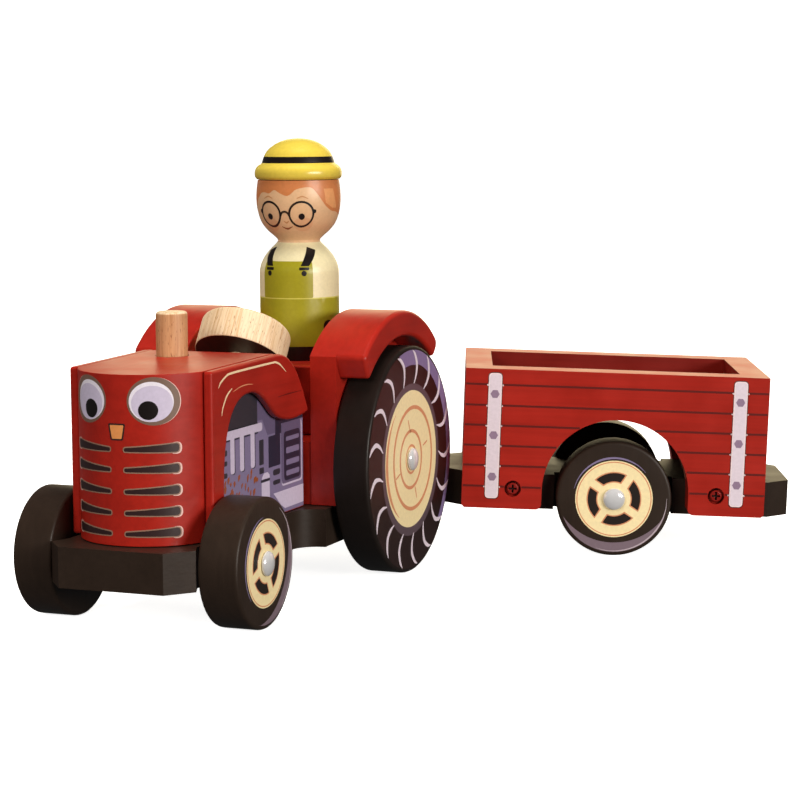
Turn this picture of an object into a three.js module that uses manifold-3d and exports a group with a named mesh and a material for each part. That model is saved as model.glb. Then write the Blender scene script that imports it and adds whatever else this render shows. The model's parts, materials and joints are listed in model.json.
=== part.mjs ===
// A wooden toy tractor with a peg doll at the wheel and a box trailer on its hitch.
// Millimetres, +Z up. The tractor faces -Y and its left side is +X.
// Everything is first laid out from the point on the floor under the middle of the front axle;
// the last lines move the whole group so that its origin is the middle of its footprint.

import * as THREE from "three";
import { mergeVertices } from "three/addons/utils/BufferGeometryUtils.js";
import Module from "manifold-3d";

const wasm = await Module();
wasm.setup();

// ---- driving dimensions -------------------------------------------------------------------

const GAP = 0.3;                 // glue line between two pieces that touch
const FAR = 400;                 // longer than any piece, for cutters that run right through

const AXLE_R = 2.0;              // steel axle rods
const AXLE_FIT = 0.08;           // radial running clearance of a wheel on its rod
const AXLE_HOLE_R = AXLE_R + GAP;
const WHEEL_ROUND = 1.1;         // rounded edge of every wheel
const CAP_R = 4.8;               // domed axle caps
const CAP_HEIGHT = 2.4;

const FRONT_WHEEL = { r: 25.0, width: 16.3, outer: 47.1, y: 0, sides: 40 };
const REAR_WHEEL = { r: 47.7, width: 15.4, outer: 55.6, y: 126.4, sides: 56 };
const TRAILER_WHEEL = { r: 25.0, width: 16.1, outer: 41.1, y: 0, sides: 40 };

const BOARD_LOW = 17.4;          // underside and top of the tractor's base board
const BOARD_TOP = 32.9;
const BUMPER_Y = -34.5;          // front end of the base board
const BUMPER_HALF = 21.8;
const BUMPER_CORNER = [30.2, -24.4];
const WAIST_HALF = 27.1;         // base board between the front wheels
const FLARE_Y = 77.6;            // where the base board widens under the cab
const FLARE_HALF = 37.4;
const FLARE_R = 10.5;
const BOARD_END_Y = 175;         // full thickness ends here and the hitch plate goes on

const HITCH_Y = 186.9;           // hitch pin
const HITCH_PIN_R = 3.0;
const HITCH_PLATE_TOP = 27.0;
const HITCH_PLATE_R = 11;
const HITCH_HEAD_LOW = 38.9;

const HOOD_HALF = 26.0;          // hood block, without the side panels
const HOOD_FRONT_Y = -8.8;       // where the round grille starts at the side panels
const HOOD_NOSE_Y = -26.8;       // foremost point of the round grille
const HOOD_REAR_Y = 81.8;
const HOOD_FRONT_Z = 97.3;       // hood top at the grille and at its highest
const HOOD_CROWN = [50, 98.2];
const SIDE_THICK = 3.7;          // hood side panels
const SIDE_LIP = [79.4, 72.7];   // rear tip of a hood side panel
const SIDE_POST_Y = 1.2;         // rear edge of its front post

const EXHAUST = { x: -9.5, y: 36.5, r: 6.25, low: 90.0, top: 115.4 };

const STEER_AT = [0, 77.5, 93.5];  // middle of the steering wheel's underside
const STEER_TILT = 34;             // degrees from upright, leaning towards the driver
const STEER_R = 18.6;
const STEER_THICK = 14.0;
const COLUMN_R = 4.5;
const COLUMN_FIT = 0.08;
const COLUMN_DOWN = 17;            // column below and above the wheel's underside
const COLUMN_UP = 6;

const CAB_HALF = 27.8;           // footwell and seat blocks
const CAB_REAR_Y = 162;
const FOOTWELL_Y = 85.4;
const FOOTWELL_TOP = 58.9;
const SEAT_Y = 104;
const SEAT_TOP = 88.0;
const SEAT_HOLE_DEPTH = 6;

const CAB_SIDE_OUT = 39.3;       // cab sides and fenders
const CAB_FRONT_Y = 84.8;
const FENDER_OUT = 52.6;
const FENDER_ARC = { y: 125.5, z: 50.4, r: 59.8 };   // top outline, shared by cab side and fender
const FENDER_UNDER = { y: 127.1, z: 44.8, r: 54.5 }; // underside over the wheel
const FENDER_REAR_Y = 165.2;
const FENDER_TOE = [89.6, 84.7];    // lower corner of the fender's front end
const FENDER_HEEL = [161.6, 87.2];  // lower corner of its rear end

const DRIVER_Y = 137.9;
const DRIVER_R = 17.0;
const DRIVER_LOW = SEAT_TOP - SEAT_HOLE_DEPTH + GAP;
const HAT_LOW = 164.3;
const DRIVER_TOP = 181.6;

const TRAILER_YAW = -69.6;       // degrees, trailer swung to the tractor's left
const TRAILER_PITCH = -2.25;     // degrees, nose slightly up on its one axle
const DRAWBAR = 118.3;           // hitch pin to trailer axle
const BOX_FRONT = -66.2;         // box ends, measured from the trailer axle
const BOX_REAR = 64.5;
const BOX_HALF = 45.4;
const BOX_SIDE_THICK = 13.4;
const BOX_WALL_THICK = 11.6;
const BOX_LOW = -5.3;            // heights measured from the trailer axle
const BOX_TOP = 55.4;
const BED_LOW = 35.6;
const BED_TOP = 39.6;
const ARCH = { z: 3.3, r: 31.65 };
const FOOT_R = 2.6;              // rounded lower corners beside the wheel arch
const END_CHAMFER = 1.2;         // small cut at the lower corners of the box ends
const TRAILER_BOARD_LOW = -7.0;
const TRAILER_BOARD_TOP = 8.3;
const TRAILER_BOARD_REAR = 77.5;
const TRAILER_BOARD_END_HALF = 22.1;
const TRAILER_BOARD_CHAMFER = 9.8;
const WHEEL_NOTCH_HALF = 24.2;   // board half width between the trailer wheels
const WHEEL_NOTCH_LENGTH = 51.6;
const TONGUE_HALF = 11;
const TONGUE_LAP_LOW = -1.8;     // underside of the upper lap that rests over the hitch plate
const TONGUE_LAP_LENGTH = 14;    // lap measured from the hitch pin
const TONGUE_END_R = 10;

const SCREW = { headR: 2.7, headHeight: 2.4, shankR: 1.6, length: 24, slot: 0.8, slotDepth: 1.5 };
const COUNTERBORE_R = 3.6;       // wider than the head, so a dark ring shows round it
const SIDE_SCREW_Y = [-44.2, 43.6];
const SIDE_SCREW_Z = 3.5;
const BOARD_SCREW_Y = [14, 62, 100, 150];

// ---- materials ----------------------------------------------------------------------------

function paint(color, roughness, metalness = 0) {
  return new THREE.MeshStandardMaterial({ color, roughness, metalness });
}

const red = () => paint(0xa8281f, 0.35);
const black = () => paint(0x1f1a18, 0.45);
const beech = () => paint(0xd9b07f, 0.6);
const steel = () => paint(0xb4b6ba, 0.3, 1);
const chrome = () => paint(0xd8dadd, 0.12, 1);

// ---- solids -------------------------------------------------------------------------------

// Turn a closed three.js geometry into a manifold-3d solid, so that it can be cut or joined.
function solid(geometry) {
  const bare = new THREE.BufferGeometry();
  bare.setAttribute("position", geometry.getAttribute("position").clone());
  if (geometry.index) bare.setIndex(geometry.index.clone());
  const merged = mergeVertices(bare, 1e-4);
  const index = merged.index.array;
  const triangles = [];
  for (let i = 0; i < index.length; i += 3) {
    const [a, b, c] = [index[i], index[i + 1], index[i + 2]];
    if (a !== b && b !== c && a !== c) triangles.push(a, b, c);
  }
  return new wasm.Manifold(new wasm.Mesh({
    numProp: 3,
    vertProperties: new Float32Array(merged.getAttribute("position").array),
    triVerts: new Uint32Array(triangles),
  }));
}

// And back again.
function geometryOf(manifold) {
  const mesh = manifold.getMesh();
  const geometry = new THREE.BufferGeometry();
  geometry.setAttribute("position", new THREE.BufferAttribute(new Float32Array(mesh.vertProperties), 3));
  geometry.setIndex(new THREE.BufferAttribute(new Uint32Array(mesh.triVerts), 1));
  geometry.computeVertexNormals();
  return geometry;
}

function cut(body, ...cutters) {
  return cutters.reduce((left, cutter) => left.subtract(cutter), body);
}

function box(x0, x1, y0, y1, z0, z1) {
  const geometry = new THREE.BoxGeometry(x1 - x0, y1 - y0, z1 - z0);
  geometry.translate((x0 + x1) / 2, (y0 + y1) / 2, (z0 + z1) / 2);
  return solid(geometry);
}

// A plan outline in X and Y, raised from z0 to z1.
function slabZ(shape, z0, z1, curveSegments = 10) {
  const geometry = new THREE.ExtrudeGeometry(shape, { depth: z1 - z0, bevelEnabled: false, curveSegments });
  geometry.translate(0, 0, z0);
  return solid(geometry);
}

// A side outline in Y and Z, carried from x0 to x1.
function slabX(shape, x0, x1, curveSegments = 10) {
  const geometry = new THREE.ExtrudeGeometry(shape, { depth: x1 - x0, bevelEnabled: false, curveSegments });
  const toSide = new THREE.Matrix4().makeBasis(
    new THREE.Vector3(0, 1, 0), new THREE.Vector3(0, 0, 1), new THREE.Vector3(1, 0, 0));
  geometry.applyMatrix4(toSide);
  geometry.translate(x0, 0, 0);
  return solid(geometry);
}

// A profile of [radius, height] points turned about +Z.
function turned(profile, sides = 32) {
  const points = profile.map(([r, h]) => new THREE.Vector2(r, h));
  const geometry = new THREE.LatheGeometry(points, sides);
  geometry.rotateX(Math.PI / 2);
  return solid(geometry);
}

function rod(r, z0, z1, sides = 24) {
  return turned([[0, z0], [r, z0], [r, z1], [0, z1]], sides);
}

// Lay a solid that was made about +Z along +X.
function alongX(manifold) {
  return manifold.rotate([0, 90, 0]);
}

function shapeOf(points) {
  return new THREE.Shape(points.map(([a, b]) => new THREE.Vector2(a, b)));
}

function arcAngle(arc, y, z) {
  return Math.atan2(z - arc.z, y - arc.y);
}

function arcHeight(arc, y) {
  return arc.z + Math.sqrt(arc.r ** 2 - (y - arc.y) ** 2);
}

// ---- assembly helpers ---------------------------------------------------------------------

const toy = new THREE.Group();

function add(group, name, manifold, material) {
  const mesh = new THREE.Mesh(geometryOf(manifold), material);
  mesh.name = name;
  group.add(mesh);
  return mesh;
}

// ---- wheels, rods and caps ----------------------------------------------------------------

// A plain turned wooden wheel about +Z, from height 0 to its width. Its flats touch the true circle,
// and one of them faces down when the wheel stands.
function wheelSolid({ r, width, sides }) {
  const half = Math.PI / sides;
  const rim = r / Math.cos(half);
  const k = WHEEL_ROUND;
  const bore = AXLE_R + AXLE_FIT;
  const ring = [
    [bore, 0], [rim - k, 0], [rim - 0.3 * k, 0.3 * k], [rim, k],
    [rim, width - k], [rim - 0.3 * k, width - 0.3 * k], [rim - k, width], [bore, width], [bore, 0],
  ];
  return turned(ring, sides).rotate([0, 0, 180 / sides]);
}

// A domed push-on cap: a shallow dome with a blind hole that takes the end of the rod.
function capSolid() {
  const low = GAP;
  const dome = [[0, low], [CAP_R, low], [CAP_R, low + 0.5]];
  const steps = 3;
  for (let i = 1; i <= steps; i += 1) {
    const turn = (i / steps) * Math.PI / 2;
    dome.push([CAP_R * Math.cos(turn), low + 0.5 + (CAP_HEIGHT - 0.5) * Math.sin(turn)]);
  }
  dome[dome.length - 1][0] = 0;
  return cut(turned(dome, 18), rod(AXLE_HOLE_R, -1, low + 1.3, 18));
}

function addAxleSet(group, prefix, wheel, height) {
  const rodEnd = wheel.outer + GAP + 1.0;
  const place = (mesh) => mesh.position.set(0, wheel.y, height);
  place(add(group, `${prefix}_axle`, alongX(rod(AXLE_R, -rodEnd, rodEnd)), steel()));
  for (const [side, sign] of [["left", 1], ["right", -1]]) {
    const out = (body) => (sign > 0 ? body : body.mirror([1, 0, 0]));
    const tyre = alongX(wheelSolid(wheel)).translate([wheel.outer - wheel.width, 0, 0]);
    const cap = alongX(capSolid()).translate([wheel.outer, 0, 0]);
    place(add(group, `${prefix}_wheel_${side}`, out(tyre), black()));
    place(add(group, `${prefix}_axle_cap_${side}`, out(cap), chrome()));
  }
}

// ---- screws -------------------------------------------------------------------------------

// A cross-head screw that points down -Z, its low round head level with height 0.
function screwSolid() {
  const { headR, headHeight, shankR, length, slot, slotDepth } = SCREW;
  const body = turned([
    [0, -length], [shankR * 0.4, -length], [shankR, -length + 3], [shankR, -headHeight],
    [headR, -headHeight], [headR, -0.5], [headR - 0.5, 0], [0, 0],
  ], 16);
  const arm = headR * 0.66;
  const across = box(-arm, arm, -slot / 2, slot / 2, -slotDepth, 1);
  const along = box(-slot / 2, slot / 2, -arm, arm, -slotDepth, 1);
  return cut(body, across, along);
}

// Its pilot hole and counterbore.
function screwHole() {
  const { headHeight, shankR, length } = SCREW;
  const seat = -headHeight - GAP;
  return turned([
    [0, -length - GAP], [shankR + GAP, -length - GAP], [shankR + GAP, seat],
    [COUNTERBORE_R, seat], [COUNTERBORE_R, 1], [0, 1],
  ], 20);
}

// ---- tractor: base board ------------------------------------------------------------------

function baseBoard() {
  const half = new THREE.Path();
  half.moveTo(0, BUMPER_Y);
  half.lineTo(BUMPER_HALF, BUMPER_Y);
  half.lineTo(...BUMPER_CORNER);
  half.lineTo(WAIST_HALF, BUMPER_CORNER[1] + 7);
  half.lineTo(WAIST_HALF, FLARE_Y - FLARE_R);
  half.absarc(WAIST_HALF + FLARE_R, FLARE_Y - FLARE_R, FLARE_R, Math.PI, Math.PI / 2, true);
  half.lineTo(FLARE_HALF, FLARE_Y + 0.8);
  half.lineTo(FLARE_HALF, BOARD_END_Y - 10);
  half.lineTo(FLARE_HALF - 10, BOARD_END_Y);
  half.lineTo(0, BOARD_END_Y);
  const right = half.getPoints(10);
  const left = right.slice(1, -1).reverse().map((point) => new THREE.Vector2(-point.x, point.y));
  const board = slabZ(new THREE.Shape([...right, ...left]), BOARD_LOW, BOARD_TOP);

  const plateOutline = new THREE.Shape();
  plateOutline.moveTo(HITCH_PLATE_R, BOARD_END_Y - 1);
  plateOutline.lineTo(HITCH_PLATE_R, HITCH_Y);
  plateOutline.absarc(0, HITCH_Y, HITCH_PLATE_R, 0, Math.PI, false);
  plateOutline.lineTo(-HITCH_PLATE_R, BOARD_END_Y - 1);
  const plate = slabZ(plateOutline, BOARD_LOW, HITCH_PLATE_TOP);

  const pinHole = rod(HITCH_PIN_R + GAP, BOARD_LOW + 2, FAR).translate([0, HITCH_Y, 0]);
  const axleHole = alongX(rod(AXLE_HOLE_R, -FAR, FAR)).translate([0, FRONT_WHEEL.y, FRONT_WHEEL.r]);
  const screwHoles = BOARD_SCREW_Y.map((y) => screwHole().rotate([180, 0, 0]).translate([0, y, BOARD_LOW]));
  return cut(board.add(plate), pinHole, axleHole, ...screwHoles);
}

function hitchPin() {
  const low = BOARD_LOW + 2 + GAP;
  return turned([
    [0, low], [HITCH_PIN_R, low], [HITCH_PIN_R, HITCH_HEAD_LOW], [5.4, HITCH_HEAD_LOW],
    [5.4, HITCH_HEAD_LOW + 1.2], [4.2, HITCH_HEAD_LOW + 2.6], [2, HITCH_HEAD_LOW + 3.2], [0, HITCH_HEAD_LOW + 3.3],
  ], 24).translate([0, HITCH_Y, 0]);
}

// ---- tractor: hood ------------------------------------------------------------------------

// Points along the hood's side outline, from the crown over the slope to its rear tip.
function hoodSlope(outline, [tipY, tipZ]) {
  outline.bezierCurveTo(HOOD_CROWN[0] + 13, HOOD_CROWN[1] + 0.2, tipY - 8.4, tipZ + 16.8, tipY, tipZ);
}

function hoodBlock() {
  const side = new THREE.Shape();
  side.moveTo(HOOD_NOSE_Y - 10, BOARD_TOP + GAP);
  side.lineTo(HOOD_REAR_Y, BOARD_TOP + GAP);
  const tip = [HOOD_REAR_Y, SIDE_LIP[1] - 0.7];
  side.lineTo(...tip);
  const slope = new THREE.Path();
  slope.moveTo(...HOOD_CROWN);
  hoodSlope(slope, tip);
  for (const point of slope.getPoints(10).reverse().slice(1)) side.lineTo(point.x, point.y);
  side.lineTo(HOOD_FRONT_Y, HOOD_FRONT_Z);
  side.lineTo(HOOD_NOSE_Y - 10, HOOD_FRONT_Z - 0.2);

  const bulge = HOOD_FRONT_Y - HOOD_NOSE_Y;
  const noseR = (HOOD_HALF ** 2 + bulge ** 2) / (2 * bulge);
  const spread = Math.asin(HOOD_HALF / noseR);
  const plan = new THREE.Shape();
  plan.moveTo(HOOD_HALF, FAR);
  plan.lineTo(-HOOD_HALF, FAR);
  plan.lineTo(-HOOD_HALF, HOOD_FRONT_Y);
  plan.absarc(0, HOOD_NOSE_Y + noseR, noseR, -Math.PI / 2 - spread, -Math.PI / 2 + spread, false);
  plan.lineTo(HOOD_HALF, FAR);

  const blank = slabX(side, -HOOD_HALF - 10, HOOD_HALF + 10);
  const block = blank.intersect(slabZ(plan, 0, FAR, 28));
  const exhaustHole = rod(EXHAUST.r + GAP, EXHAUST.low - GAP, FAR).translate([EXHAUST.x, EXHAUST.y, 0]);
  const columnHole = steering(rod(COLUMN_R + GAP, -COLUMN_DOWN - GAP, 20));
  const screwHoles = BOARD_SCREW_Y.slice(0, 2)
    .map((y) => screwHole().rotate([180, 0, 0]).translate([0, y, BOARD_LOW]));
  return cut(block, exhaustHole, columnHole, ...screwHoles);
}

// One hood side panel, at the tractor's left: a post beside the grille and a band along the hood top
// that arches over the engine and ends in a pointed lip.
function hoodSidePanel() {
  const outline = new THREE.Shape();
  outline.moveTo(HOOD_FRONT_Y, BOARD_TOP + GAP);
  outline.lineTo(SIDE_POST_Y, BOARD_TOP + GAP);
  outline.lineTo(SIDE_POST_Y, 51.7);
  outline.bezierCurveTo(1.6, 79, 12, 85.9, 25.9, 85.7);
  outline.bezierCurveTo(34.5, 85.7, 42.1, 78.8, 46.6, 75.5);
  outline.bezierCurveTo(53, 70.8, 66, 69.8, ...SIDE_LIP);
  const slope = new THREE.Path();
  slope.moveTo(...HOOD_CROWN);
  hoodSlope(slope, SIDE_LIP);
  for (const point of slope.getPoints(10).reverse().slice(1)) outline.lineTo(point.x, point.y);
  outline.lineTo(HOOD_FRONT_Y, HOOD_FRONT_Z);
  return slabX(outline, HOOD_HALF + GAP, HOOD_HALF + GAP + SIDE_THICK);
}

function exhaustPipe() {
  const { r, low, top } = EXHAUST;
  return turned([
    [0, low], [r, low], [r, top - 0.8], [r - 0.25, top - 0.25], [r - 0.8, top], [0, top],
  ]).translate([EXHAUST.x, EXHAUST.y, 0]);
}

// ---- tractor: steering --------------------------------------------------------------------

// Carry a solid made about +Z to the tilted steering axis.
function steering(manifold) {
  return manifold.rotate([-STEER_TILT, 0, 0]).translate(STEER_AT);
}

function steeringColumn() {
  return steering(rod(COLUMN_R, -COLUMN_DOWN, COLUMN_UP));
}

function steeringWheel() {
  const k = 0.9;
  const disc = turned([
    [0, 0], [STEER_R - k, 0], [STEER_R, k],
    [STEER_R, STEER_THICK - k], [STEER_R - k, STEER_THICK], [0, STEER_THICK],
  ], 40);
  return steering(cut(disc, rod(COLUMN_R + COLUMN_FIT, -1, COLUMN_UP + GAP)));
}

// ---- tractor: cab -------------------------------------------------------------------------

function rearAxleHole() {
  return alongX(rod(AXLE_HOLE_R, -FAR, FAR)).translate([0, REAR_WHEEL.y, REAR_WHEEL.r]);
}

function footwellBlock() {
  const block = box(-CAB_HALF, CAB_HALF, FOOTWELL_Y, CAB_REAR_Y, BOARD_TOP + GAP, FOOTWELL_TOP);
  const screwHoles = BOARD_SCREW_Y.slice(2)
    .map((y) => screwHole().rotate([180, 0, 0]).translate([0, y, BOARD_LOW]));
  return cut(block, rearAxleHole(), ...screwHoles);
}

function seatBlock() {
  const block = box(-CAB_HALF, CAB_HALF, SEAT_Y, CAB_REAR_Y, FOOTWELL_TOP + GAP, SEAT_TOP);
  const hole = rod(DRIVER_R + 0.5, SEAT_TOP - SEAT_HOLE_DEPTH, FAR, 40).translate([0, DRIVER_Y, 0]);
  return cut(block, hole);
}

// The curved top outline that a cab side and its fender share, from the rear to the front.
function fenderTop(outline) {
  const rearAngle = arcAngle(FENDER_ARC, FENDER_REAR_Y, arcHeight(FENDER_ARC, FENDER_REAR_Y));
  const frontAngle = arcAngle(FENDER_ARC, CAB_FRONT_Y, arcHeight(FENDER_ARC, CAB_FRONT_Y));
  outline.absarc(FENDER_ARC.y, FENDER_ARC.z, FENDER_ARC.r, rearAngle, frontAngle, false);
}

function cabSide() {
  const outline = new THREE.Shape();
  outline.moveTo(CAB_FRONT_Y, BOARD_TOP + GAP);
  outline.lineTo(CAB_REAR_Y, BOARD_TOP + GAP);
  outline.lineTo(CAB_REAR_Y, FENDER_HEEL[1] - 1);
  fenderTop(outline);
  return cut(slabX(outline, CAB_HALF + GAP, CAB_SIDE_OUT, 18), rearAxleHole());
}

function fender() {
  const outline = new THREE.Shape();
  const toe = arcAngle(FENDER_UNDER, ...FENDER_TOE);
  const heel = arcAngle(FENDER_UNDER, ...FENDER_HEEL);
  outline.absarc(FENDER_UNDER.y, FENDER_UNDER.z, FENDER_UNDER.r, toe, heel, true);
  outline.lineTo(FENDER_REAR_Y + 0.6, arcHeight(FENDER_ARC, FENDER_REAR_Y) - 3.5);
  fenderTop(outline);
  outline.lineTo(FENDER_TOE[0] - 1.4, FENDER_TOE[1] + 1.6);
  return slabX(outline, CAB_SIDE_OUT + GAP, FENDER_OUT, 18);
}

// ---- driver -------------------------------------------------------------------------------

// Radius and height of the turned peg doll: feet, round shoulders, neck and ball head.
function driverBody() {
  const profile = [
    [0, DRIVER_LOW], [16.4, DRIVER_LOW], [16.9, DRIVER_LOW + 0.8], [DRIVER_R, 124], [16.75, 126.6],
    [16.1, 128.8], [14.5, 131.8], [12.0, 134.8], [9.8, 137.0], [9.0, 138.2],
    [10.4, 139.6], [13.3, 142.3], [15.8, 145.9], [17.3, 150.2], [17.95, 155.0],
    [17.85, 159.6], [17.3, HAT_LOW - GAP], [0, HAT_LOW - GAP],
  ];
  return turned(profile, 36).translate([0, DRIVER_Y, 0]);
}

function driverHat() {
  const profile = [
    [0, HAT_LOW], [17.9, HAT_LOW], [18.5, HAT_LOW + 1.2], [18.6, HAT_LOW + 3.0], [18.1, HAT_LOW + 4.6],
    [16.9, HAT_LOW + 5.9], [15.6, HAT_LOW + 6.8], [15.0, HAT_LOW + 9.2], [14.1, HAT_LOW + 11.2],
    [11.6, HAT_LOW + 14.0], [9.4, HAT_LOW + 15.4], [6.5, HAT_LOW + 16.5], [3.3, HAT_LOW + 17.1], [0, DRIVER_TOP],
  ];
  return turned(profile, 36).translate([0, DRIVER_Y, 0]);
}

// ---- trailer ------------------------------------------------------------------------------
// Trailer pieces are laid out from the middle of the trailer axle: X left, Y back, Z up.

function boxSide() {
  const outline = new THREE.Shape();
  outline.moveTo(BOX_FRONT + END_CHAMFER, BOX_LOW);
  outline.lineTo(-ARCH.r - FOOT_R, BOX_LOW);
  outline.absarc(-ARCH.r - FOOT_R, BOX_LOW + FOOT_R, FOOT_R, -Math.PI / 2, 0, false);
  outline.absarc(0, ARCH.z, ARCH.r, Math.PI, 0, true);
  outline.absarc(ARCH.r + FOOT_R, BOX_LOW + FOOT_R, FOOT_R, Math.PI, Math.PI * 1.5, false);
  outline.lineTo(BOX_REAR - END_CHAMFER, BOX_LOW);
  outline.lineTo(BOX_REAR, BOX_LOW + END_CHAMFER);
  outline.lineTo(BOX_REAR, BOX_TOP);
  outline.lineTo(BOX_FRONT, BOX_TOP);
  outline.lineTo(BOX_FRONT, BOX_LOW + END_CHAMFER);
  const panel = slabX(outline, BOX_HALF - BOX_SIDE_THICK, BOX_HALF, 28);
  return cut(panel, ...sideScrewPlaces().map((place) => place(screwHole())));
}

// The two screws of the left side, each as a function that carries a solid there.
function sideScrewPlaces() {
  return SIDE_SCREW_Y.map((y) => (body) => alongX(body).translate([BOX_HALF - 0.2, y, SIDE_SCREW_Z]));
}

function endWall(front) {
  const half = BOX_HALF - BOX_SIDE_THICK - GAP;
  const low = TRAILER_BOARD_TOP + GAP;
  if (front) return box(-half, half, BOX_FRONT, BOX_FRONT + BOX_WALL_THICK, low, BOX_TOP);
  return box(-half, half, BOX_REAR - BOX_WALL_THICK, BOX_REAR, low, BOX_TOP);
}

function trailerBed() {
  const half = BOX_HALF - BOX_SIDE_THICK - GAP;
  const front = BOX_FRONT + BOX_WALL_THICK + GAP;
  const rear = BOX_REAR - BOX_WALL_THICK - GAP;
  return box(-half, half, front, rear, BED_LOW, BED_TOP);
}

function trailerBoard() {
  const half = BOX_HALF - BOX_SIDE_THICK - GAP;
  const notch = WHEEL_NOTCH_LENGTH / 2;
  const shoulder = BOX_FRONT + 3.5;
  const right = [
    [TRAILER_BOARD_END_HALF, TRAILER_BOARD_REAR],
    [half, TRAILER_BOARD_REAR - TRAILER_BOARD_CHAMFER],
    [half, notch], [WHEEL_NOTCH_HALF, notch], [WHEEL_NOTCH_HALF, -notch], [half, -notch],
    [half, shoulder], [half - 11, shoulder - 12], [TONGUE_HALF, shoulder - 12 - 7],
    [TONGUE_HALF, -DRAWBAR + TONGUE_LAP_LENGTH], [TONGUE_END_R, -DRAWBAR],
  ];
  const outline = new THREE.Shape();
  outline.moveTo(...right[0]);
  for (const [x, y] of right.slice(1)) outline.lineTo(x, y);
  outline.absarc(0, -DRAWBAR, TONGUE_END_R, 0, -Math.PI, true);
  for (const [x, y] of [...right].reverse().slice(1)) outline.lineTo(-x, y);
  const board = slabZ(outline, TRAILER_BOARD_LOW, TRAILER_BOARD_TOP);

  const lap = box(-20, 20, -DRAWBAR - 20, -DRAWBAR + TONGUE_LAP_LENGTH, TRAILER_BOARD_LOW - 1, TONGUE_LAP_LOW);
  const pinHole = rod(HITCH_PIN_R + 0.8, -FAR, FAR).translate([0, -DRAWBAR, 0]);
  const axleHole = alongX(rod(AXLE_HOLE_R, -FAR, FAR));
  const holes = sideScrewPlaces().flatMap((place) => [place(screwHole()), place(screwHole()).mirror([1, 0, 0])]);
  return cut(board, lap, pinHole, axleHole, ...holes);
}

// ---- the whole toy ------------------------------------------------------------------------

const mirrorX = (body) => body.mirror([1, 0, 0]);

const tractor = new THREE.Group();
toy.add(tractor);
add(tractor, "base_board", baseBoard(), black());
add(tractor, "hitch_pin", hitchPin(), steel());
add(tractor, "hood_block", hoodBlock(), red());
add(tractor, "hood_side_left", hoodSidePanel(), red());
add(tractor, "hood_side_right", mirrorX(hoodSidePanel()), red());
add(tractor, "exhaust_pipe", exhaustPipe(), beech());
add(tractor, "steering_column", steeringColumn(), beech());
add(tractor, "steering_wheel", steeringWheel(), beech());
add(tractor, "footwell_block", footwellBlock(), red());
add(tractor, "seat_block", seatBlock(), red());
add(tractor, "cab_side_left", cabSide(), red());
add(tractor, "cab_side_right", mirrorX(cabSide()), red());
add(tractor, "fender_left", fender(), red());
add(tractor, "fender_right", mirrorX(fender()), red());
add(tractor, "driver_body", driverBody(), paint(0xb5b52a, 0.4));
add(tractor, "driver_hat", driverHat(), paint(0xe9c81c, 0.3));
addAxleSet(tractor, "front", FRONT_WHEEL, FRONT_WHEEL.r);
addAxleSet(tractor, "rear", REAR_WHEEL, REAR_WHEEL.r);
BOARD_SCREW_Y.forEach((y, i) => {
  const screw = screwSolid().rotate([180, 0, 0]).translate([0, y, BOARD_LOW]);
  add(tractor, `board_screw_${i + 1}`, screw, steel());
});

const trailerSwing = new THREE.Group();
trailerSwing.position.set(0, HITCH_Y, 0);
trailerSwing.rotation.z = THREE.MathUtils.degToRad(TRAILER_YAW);
toy.add(trailerSwing);

const trailerAxle = new THREE.Group();
trailerAxle.position.set(0, DRAWBAR, TRAILER_WHEEL.r);
trailerSwing.add(trailerAxle);
addAxleSet(trailerAxle, "trailer", TRAILER_WHEEL, 0);

const trailer = new THREE.Group();
trailer.rotation.x = THREE.MathUtils.degToRad(TRAILER_PITCH);
trailerAxle.add(trailer);
add(trailer, "trailer_board", trailerBoard(), black());
add(trailer, "trailer_side_left", boxSide(), red());
add(trailer, "trailer_side_right", mirrorX(boxSide()), red());
add(trailer, "trailer_front_wall", endWall(true), red());
add(trailer, "trailer_rear_wall", endWall(false), red());
add(trailer, "trailer_bed", trailerBed(), red());
sideScrewPlaces().forEach((place, i) => {
  const end = i === 0 ? "front" : "rear";
  add(trailer, `side_screw_${end}_left`, place(screwSolid()), paint(0x8f221b, 0.4));
  add(trailer, `side_screw_${end}_right`, mirrorX(place(screwSolid())), paint(0x8f221b, 0.4));
});

// Origin at the middle of the footprint, on the floor.
toy.updateMatrixWorld(true);
const extent = new THREE.Box3().setFromObject(toy, true);
const middle = extent.getCenter(new THREE.Vector3());
toy.position.set(-middle.x, -middle.y, -extent.min.z);

export default toy;
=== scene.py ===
"""A wooden toy tractor with a peg doll driver and a box trailer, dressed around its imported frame.

Lengths in this script are millimetres. Tractor pieces are laid out from the point on the floor under the
middle of the front axle (X left, Y back, Z up), trailer pieces from the middle of the trailer axle.
"""

import json
import math
import random

import bmesh
import bpy
from mathutils import Matrix, Vector
from mathutils.geometry import delaunay_2d_cdt


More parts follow.
